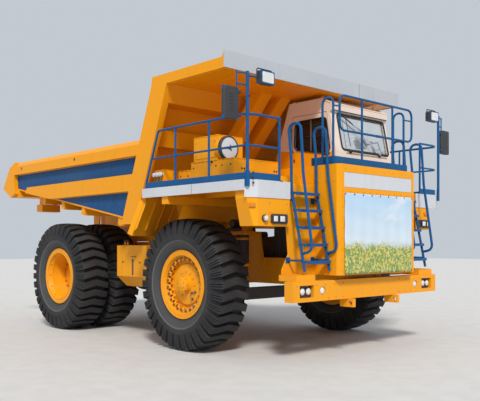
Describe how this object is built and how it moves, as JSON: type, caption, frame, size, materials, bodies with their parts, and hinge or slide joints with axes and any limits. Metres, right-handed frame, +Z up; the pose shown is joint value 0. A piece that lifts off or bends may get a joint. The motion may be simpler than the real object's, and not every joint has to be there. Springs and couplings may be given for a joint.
{
  "type": "rigid mining dump truck",
  "caption": "Rigid mining dump truck with tipping rock body and cab canopy, offset cab, twin rear wheels, steered front wheels, decks with railings and ladders.",
  "frame": {"origin": "on the ground below the middle of the truck's box, 1.93 m ahead of the rear axle", "axes": "+X forward, +Y to the driver's left, +Z up"},
  "size_m": [8.86, 5.8168, 4.65],
  "materials": {
    "yellow_paint": "semi-gloss enamel",
    "blue_paint": "semi-gloss enamel on tube",
    "blue_panel": "weathered enamel on plate",
    "white_paint": "semi-gloss enamel",
    "cream_paint": "semi-gloss enamel",
    "black_iron": "painted castings",
    "dark_grille": "matt slats",
    "polished_rod": "ground and plated",
    "tyre_rubber": "matt rubber",
    "cab_glass": "clear",
    "lamp_lens": "clear lens",
    "seat_cover": "woven",
    "dark_plastic": "moulded"
  },
  "bodies": {
    "chassis": {"frame": "yellow_paint", "cross_members": "yellow_paint", "hoist_hangers": "yellow_paint", "strut_towers": "yellow_paint", "powertrain": "black_iron", "bumper": "yellow_paint", "radiator_shell": "yellow_paint", "radiator_grille": "dark_grille", "white_panels": "white_paint", "deck_right": "yellow_paint", "deck_left": "yellow_paint", "front_panels": "yellow_paint", "platform": "yellow_paint", "ladders": "blue_paint", "deck_railings": "blue_paint", "front_railing": "blue_paint", "mirrors": "blue_paint", "headlamps": "lamp_lens", "deck_boxes": "yellow_paint", "air_intake": "yellow_paint", "cab_shell": "cream_paint", "cab_glass": "cab_glass", "driver_seat": "seat_cover", "dashboard": "dark_plastic", "fuel_tank": "yellow_paint", "hydraulic_tank": "yellow_paint", "front_axle": "black_iron", "rear_axle": "black_iron"},
    "bed": {"bed_shell": "yellow_paint", "bed_sides": "blue_panel", "bed_ribs": "yellow_paint", "bed_beams": "yellow_paint", "bed_brackets": "yellow_paint", "canopy": "yellow_paint", "canopy_fascia": "white_paint"},
    "hoist_barrel_left": {"hoist_barrel_left": "yellow_paint"},
    "hoist_stage_left": {"hoist_stage_left": "polished_rod"},
    "hoist_rod_left": {"hoist_rod_left": "polished_rod"},
    "hoist_barrel_right": {"hoist_barrel_right": "yellow_paint"},
    "hoist_stage_right": {"hoist_stage_right": "polished_rod"},
    "hoist_rod_right": {"hoist_rod_right": "polished_rod"},
    "cab_door_left": {"cab_door_left": "cream_paint", "door_glass_left": "cab_glass"},
    "cab_door_right": {"cab_door_right": "cream_paint", "door_glass_right": "cab_glass"},
    "knuckle_left": {"knuckle_left": "black_iron"},
    "wheel_front_left": {"rim_front_left": "yellow_paint", "tyre_front_left": "tyre_rubber"},
    "wheels_rear_left": {"rims_rear_left": "yellow_paint", "tyres_rear_left": "tyre_rubber"},
    "knuckle_right": {"knuckle_right": "black_iron"},
    "wheel_front_right": {"rim_front_right": "yellow_paint", "tyre_front_right": "tyre_rubber"},
    "wheels_rear_right": {"rims_rear_right": "yellow_paint", "tyres_rear_right": "tyre_rubber"},
    "tie_rod": {"tie_rod": "black_iron"}
  },
  "joints": [
    {"name": "bed_tip", "type": "hinge", "parent": "chassis", "child": "bed", "pos_m": [-3.23, 0, 1.95], "axis": [0, -1, 0], "range_deg": [0, 47]},
    {"name": "hoist_swing_left", "type": "hinge", "parent": "chassis", "child": "hoist_barrel_left", "pos_m": [-0.38, 0.62, 0.62], "axis": [0, -1, 0], "range_deg": [0, 21.09]},
    {"name": "hoist_stage_slide_left", "type": "slide", "parent": "hoist_barrel_left", "child": "hoist_stage_left", "axis": [0.1385, 0, 0.9904], "range_m": [0, 1.1428]},
    {"name": "hoist_rod_slide_left", "type": "slide", "parent": "hoist_stage_left", "child": "hoist_rod_left", "axis": [0.1385, 0, 0.9904], "range_m": [0, 1.1428]},
    {"name": "hoist_swing_right", "type": "hinge", "parent": "chassis", "child": "hoist_barrel_right", "pos_m": [-0.38, -0.62, 0.62], "axis": [0, -1, 0], "range_deg": [0, 21.09]},
    {"name": "hoist_stage_slide_right", "type": "slide", "parent": "hoist_barrel_right", "child": "hoist_stage_right", "axis": [0.1385, 0, 0.9904], "range_m": [0, 1.1428]},
    {"name": "hoist_rod_slide_right", "type": "slide", "parent": "hoist_stage_right", "child": "hoist_rod_right", "axis": [0.1385, 0, 0.9904], "range_m": [0, 1.1428]},
    {"name": "cab_door_left_hinge", "type": "hinge", "parent": "chassis", "child": "cab_door_left", "pos_m": [2.34, 1.88, 3.5], "axis": [0, 0, 1], "range_deg": [0, 36]},
    {"name": "cab_door_right_hinge", "type": "hinge", "parent": "chassis", "child": "cab_door_right", "pos_m": [2.34, 0.2, 3.5], "axis": [0, 0, -1], "range_deg": [0, 80]},
    {"name": "steer_left", "type": "hinge", "parent": "chassis", "child": "knuckle_left", "pos_m": [2.07, 1.35, 1.08], "axis": [0, 0, 1], "range_deg": [-39, 39]},
    {"name": "spin_front_left", "type": "hinge", "parent": "knuckle_left", "child": "wheel_front_left", "pos_m": [2.07, 1.9, 1.08], "axis": [0, 1, 0], "continuous": true},
    {"name": "spin_rear_left", "type": "hinge", "parent": "chassis", "child": "wheels_rear_left", "pos_m": [-1.93, 1.94, 1.08], "axis": [0, 1, 0], "continuous": true},
    {"name": "steer_right", "type": "hinge", "parent": "chassis", "child": "knuckle_right", "pos_m": [2.07, -1.35, 1.08], "axis": [0, 0, 1], "range_deg": [-39, 39]},
    {"name": "spin_front_right", "type": "hinge", "parent": "knuckle_right", "child": "wheel_front_right", "pos_m": [2.07, -1.9, 1.08], "axis": [0, 1, 0], "continuous": true},
    {"name": "spin_rear_right", "type": "hinge", "parent": "chassis", "child": "wheels_rear_right", "pos_m": [-1.93, -1.94, 1.08], "axis": [0, 1, 0], "continuous": true},
    {"name": "tie_rod_pivot", "type": "hinge", "parent": "knuckle_left", "child": "tie_rod", "pos_m": [1.52, 1.35, 0.87], "axis": [0, 0, 1], "range_deg": [-39, 39]}
  ],
  "couplings": [
    {"joint": "hoist_swing_left", "follows": "bed_tip", "ratio": 0.44767},
    {"joint": "hoist_stage_slide_left", "follows": "bed_tip", "m_per_rad": 1.3907},
    {"joint": "hoist_rod_slide_left", "follows": "bed_tip", "m_per_rad": 1.3907},
    {"joint": "hoist_swing_right", "follows": "bed_tip", "ratio": 0.44767},
    {"joint": "hoist_stage_slide_right", "follows": "bed_tip", "m_per_rad": 1.3907},
    {"joint": "hoist_rod_slide_right", "follows": "bed_tip", "m_per_rad": 1.3907},
    {"joint": "steer_right", "follows": "steer_left", "ratio": 1},
    {"joint": "tie_rod_pivot", "follows": "steer_left", "ratio": -1}
  ]
}
